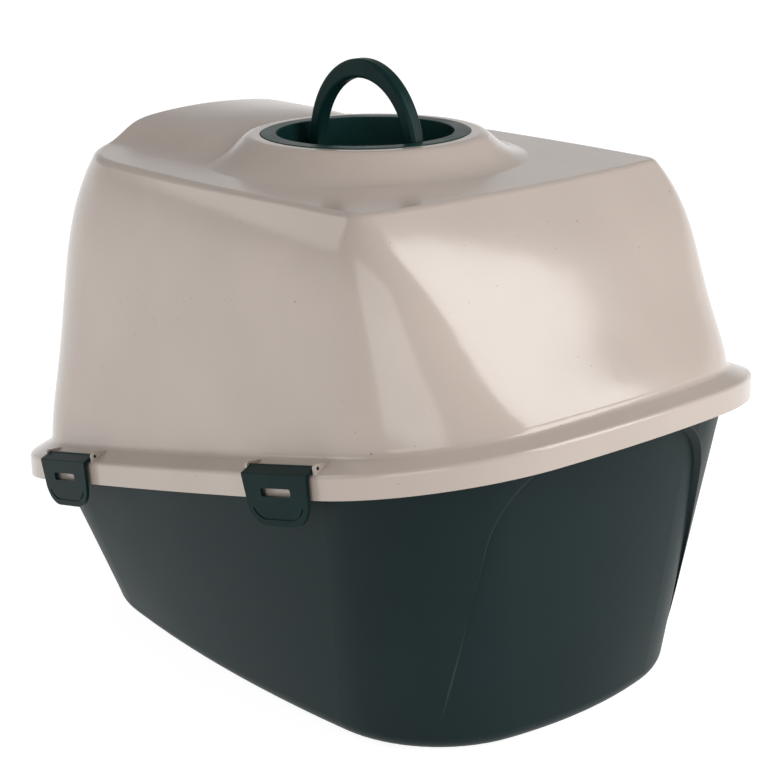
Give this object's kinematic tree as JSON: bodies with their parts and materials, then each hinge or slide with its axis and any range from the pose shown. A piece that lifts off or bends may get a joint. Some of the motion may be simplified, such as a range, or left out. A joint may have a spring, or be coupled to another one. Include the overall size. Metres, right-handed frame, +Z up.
{
  "type": "hooded litter box",
  "caption": "Hooded cat litter box: deep pan with a rim that climbs to the back, lift-off hood with a swing door, round vent with a folding carry handle, and side clips.",
  "frame": {"origin": "on the floor, under the middle of the hood's rim", "axes": "+Z up, -Y towards the door, +X to the right as seen from behind"},
  "size_m": [0.4064, 0.5586, 0.4552],
  "materials": {
    "pan": "matte",
    "hood": "gloss, finely speckled",
    "trim": "satin",
    "door": "translucent, smoky",
    "filter": "matte felt"
  },
  "bodies": {
    "pan": {"pan": "pan"},
    "hood": {"hood": "hood", "vent_bowl": "trim"},
    "door": {"door_flap": "door"},
    "handle": {"handle": "trim"},
    "filter_cover": {"filter_cover": "trim", "filter_pad": "filter"},
    "clip_rear_right": {"clip_rear_right": "trim"},
    "clip_front_right": {"clip_front_right": "trim"},
    "clip_rear_left": {"clip_rear_left": "trim"},
    "clip_front_left": {"clip_front_left": "trim"}
  },
  "joints": [
    {"name": "hood_lift", "type": "slide", "parent": "pan", "child": "hood", "axis": [0, 0, 1], "range_m": [0, 0.2]},
    {"name": "door_swing", "type": "hinge", "parent": "hood", "child": "door", "pos_m": [0, -0.2127, 0.321], "axis": [1, 0, 0], "range_deg": [-75, 75]},
    {"name": "handle_swing", "type": "hinge", "parent": "hood", "child": "handle", "pos_m": [0, -0.007, 0.3864], "axis": [0, 1, 0], "range_deg": [-54, 54]},
    {"name": "filter_cover_twist", "type": "hinge", "parent": "hood", "child": "filter_cover", "pos_m": [0, -0.007, 0.359], "axis": [0, 0, 1], "range_deg": [0, 24]},
    {"name": "clip_rear_right_swing", "type": "hinge", "parent": "hood", "child": "clip_rear_right", "pos_m": [0.19228, 0.12456, 0.21261], "axis": [0.0407, -0.9776, -0.2067], "range_deg": [0, 120]},
    {"name": "clip_front_right_swing", "type": "hinge", "parent": "hood", "child": "clip_front_right", "pos_m": [0.19215, -0.14018, 0.15663], "axis": [-0.0416, -0.9775, -0.2067], "range_deg": [0, 120]},
    {"name": "clip_rear_left_swing", "type": "hinge", "parent": "hood", "child": "clip_rear_left", "pos_m": [-0.19228, 0.12456, 0.21261], "axis": [0.0407, 0.9776, 0.2067], "range_deg": [0, 120]},
    {"name": "clip_front_left_swing", "type": "hinge", "parent": "hood", "child": "clip_front_left", "pos_m": [-0.19215, -0.14018, 0.15663], "axis": [-0.0416, 0.9775, 0.2067], "range_deg": [0, 120]}
  ]
}
